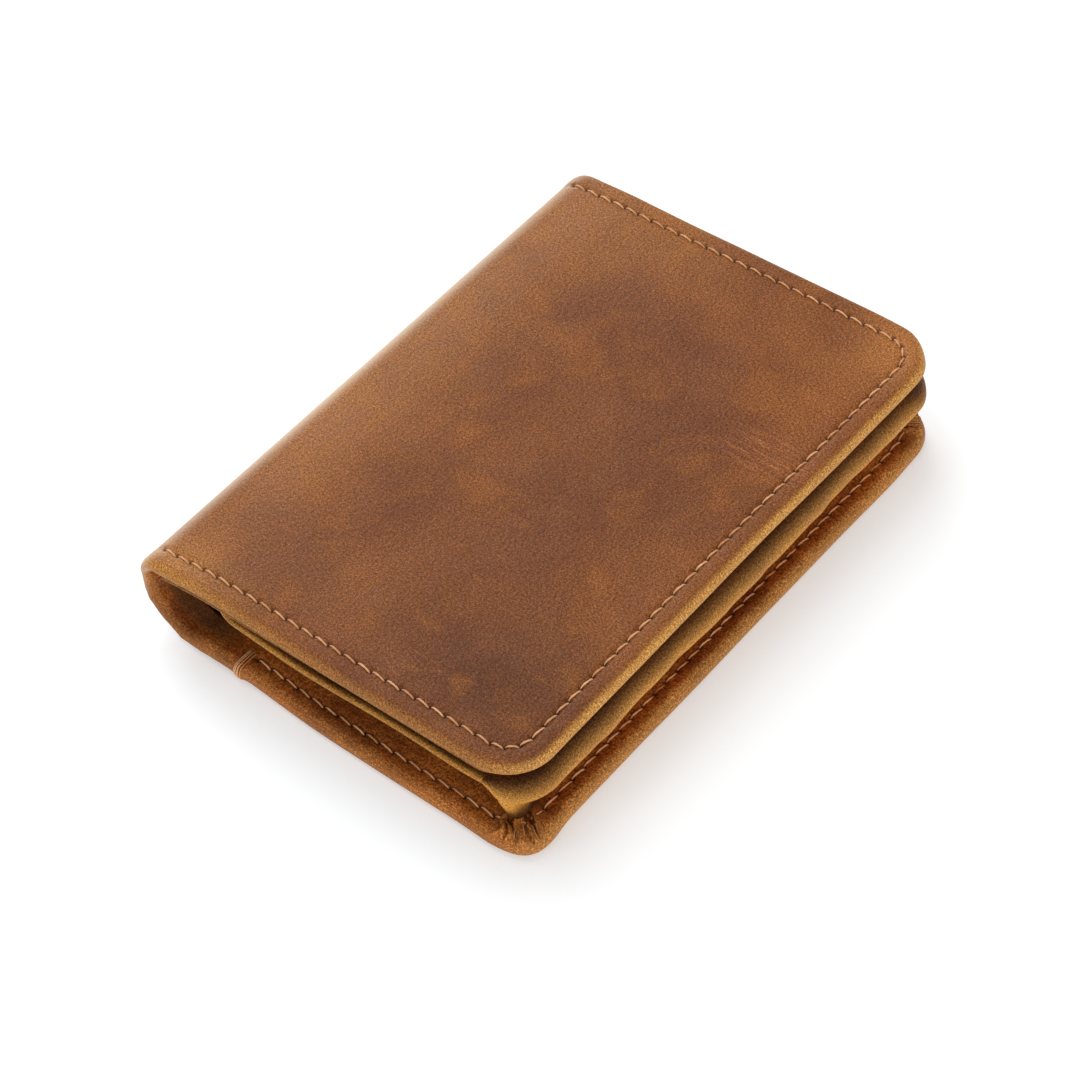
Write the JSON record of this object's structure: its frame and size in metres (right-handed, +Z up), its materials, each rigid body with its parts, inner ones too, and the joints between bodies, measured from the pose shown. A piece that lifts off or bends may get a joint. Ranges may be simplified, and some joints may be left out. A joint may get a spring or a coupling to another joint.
{
  "type": "trifold wallet",
  "caption": "Closed leather trifold wallet: back panel, book-like spine and front cover, and an inner flap on a leather roll, with card slots, a note pocket and a clear window.",
  "frame": {"origin": "centre of the bottom of the closed wallet's box, on the face it rests on", "axes": "+X from the spine to the free edge, +Y along the spine, +Z up, out of the front cover"},
  "size_m": [0.084, 0.12, 0.0207],
  "materials": {
    "outer_leather": "waxed, mottled reddish brown with tan pull-up along folds and edges",
    "pocket_leather": "thin brown leather with raw tan edges",
    "thread": "twisted tan thread",
    "clear_film": "clear flexible film"
  },
  "bodies": {
    "back": {"back_outer_leather": "outer_leather", "back_pocket_panel": "pocket_leather", "back_card_slot_1": "pocket_leather", "back_card_slot_2": "pocket_leather", "back_card_slot_3": "pocket_leather", "back_edge_stitching": "thread", "back_slot_stitching": "thread", "bar_tacks": "thread", "flap_hinge_leather": "outer_leather", "flap_hinge_stitching": "thread"},
    "spine": {"spine_leather": "outer_leather"},
    "front": {"front_outer_leather": "outer_leather", "front_lining": "pocket_leather", "front_card_slot": "pocket_leather", "front_edge_stitching": "thread", "front_slot_stitching": "thread"},
    "flap": {"flap_outer_leather": "outer_leather", "flap_inner_leather": "pocket_leather", "flap_window_frame": "pocket_leather", "flap_window": "clear_film", "flap_edge_stitching": "thread", "flap_window_stitching": "thread"}
  },
  "joints": [
    {"name": "spine_lower_fold", "type": "hinge", "parent": "back", "child": "spine", "pos_m": [-0.03832, 0, 0.00368], "axis": [0, -1, 0], "range_deg": [0, 90]},
    {"name": "spine_upper_fold", "type": "hinge", "parent": "spine", "child": "front", "pos_m": [-0.04008, 0, 0.01858], "axis": [0, -1, 0], "range_deg": [0, 90]},
    {"name": "flap_fold", "type": "hinge", "parent": "back", "child": "flap", "pos_m": [0.0415, 0, 0.0128], "axis": [0, 1, 0], "range_deg": [0, 180]}
  ],
  "couplings": [
    {"joint": "spine_upper_fold", "follows": "spine_lower_fold", "ratio": 1},
    {"joint": "flap_fold", "follows": "spine_lower_fold", "ratio": 0.5}
  ]
}
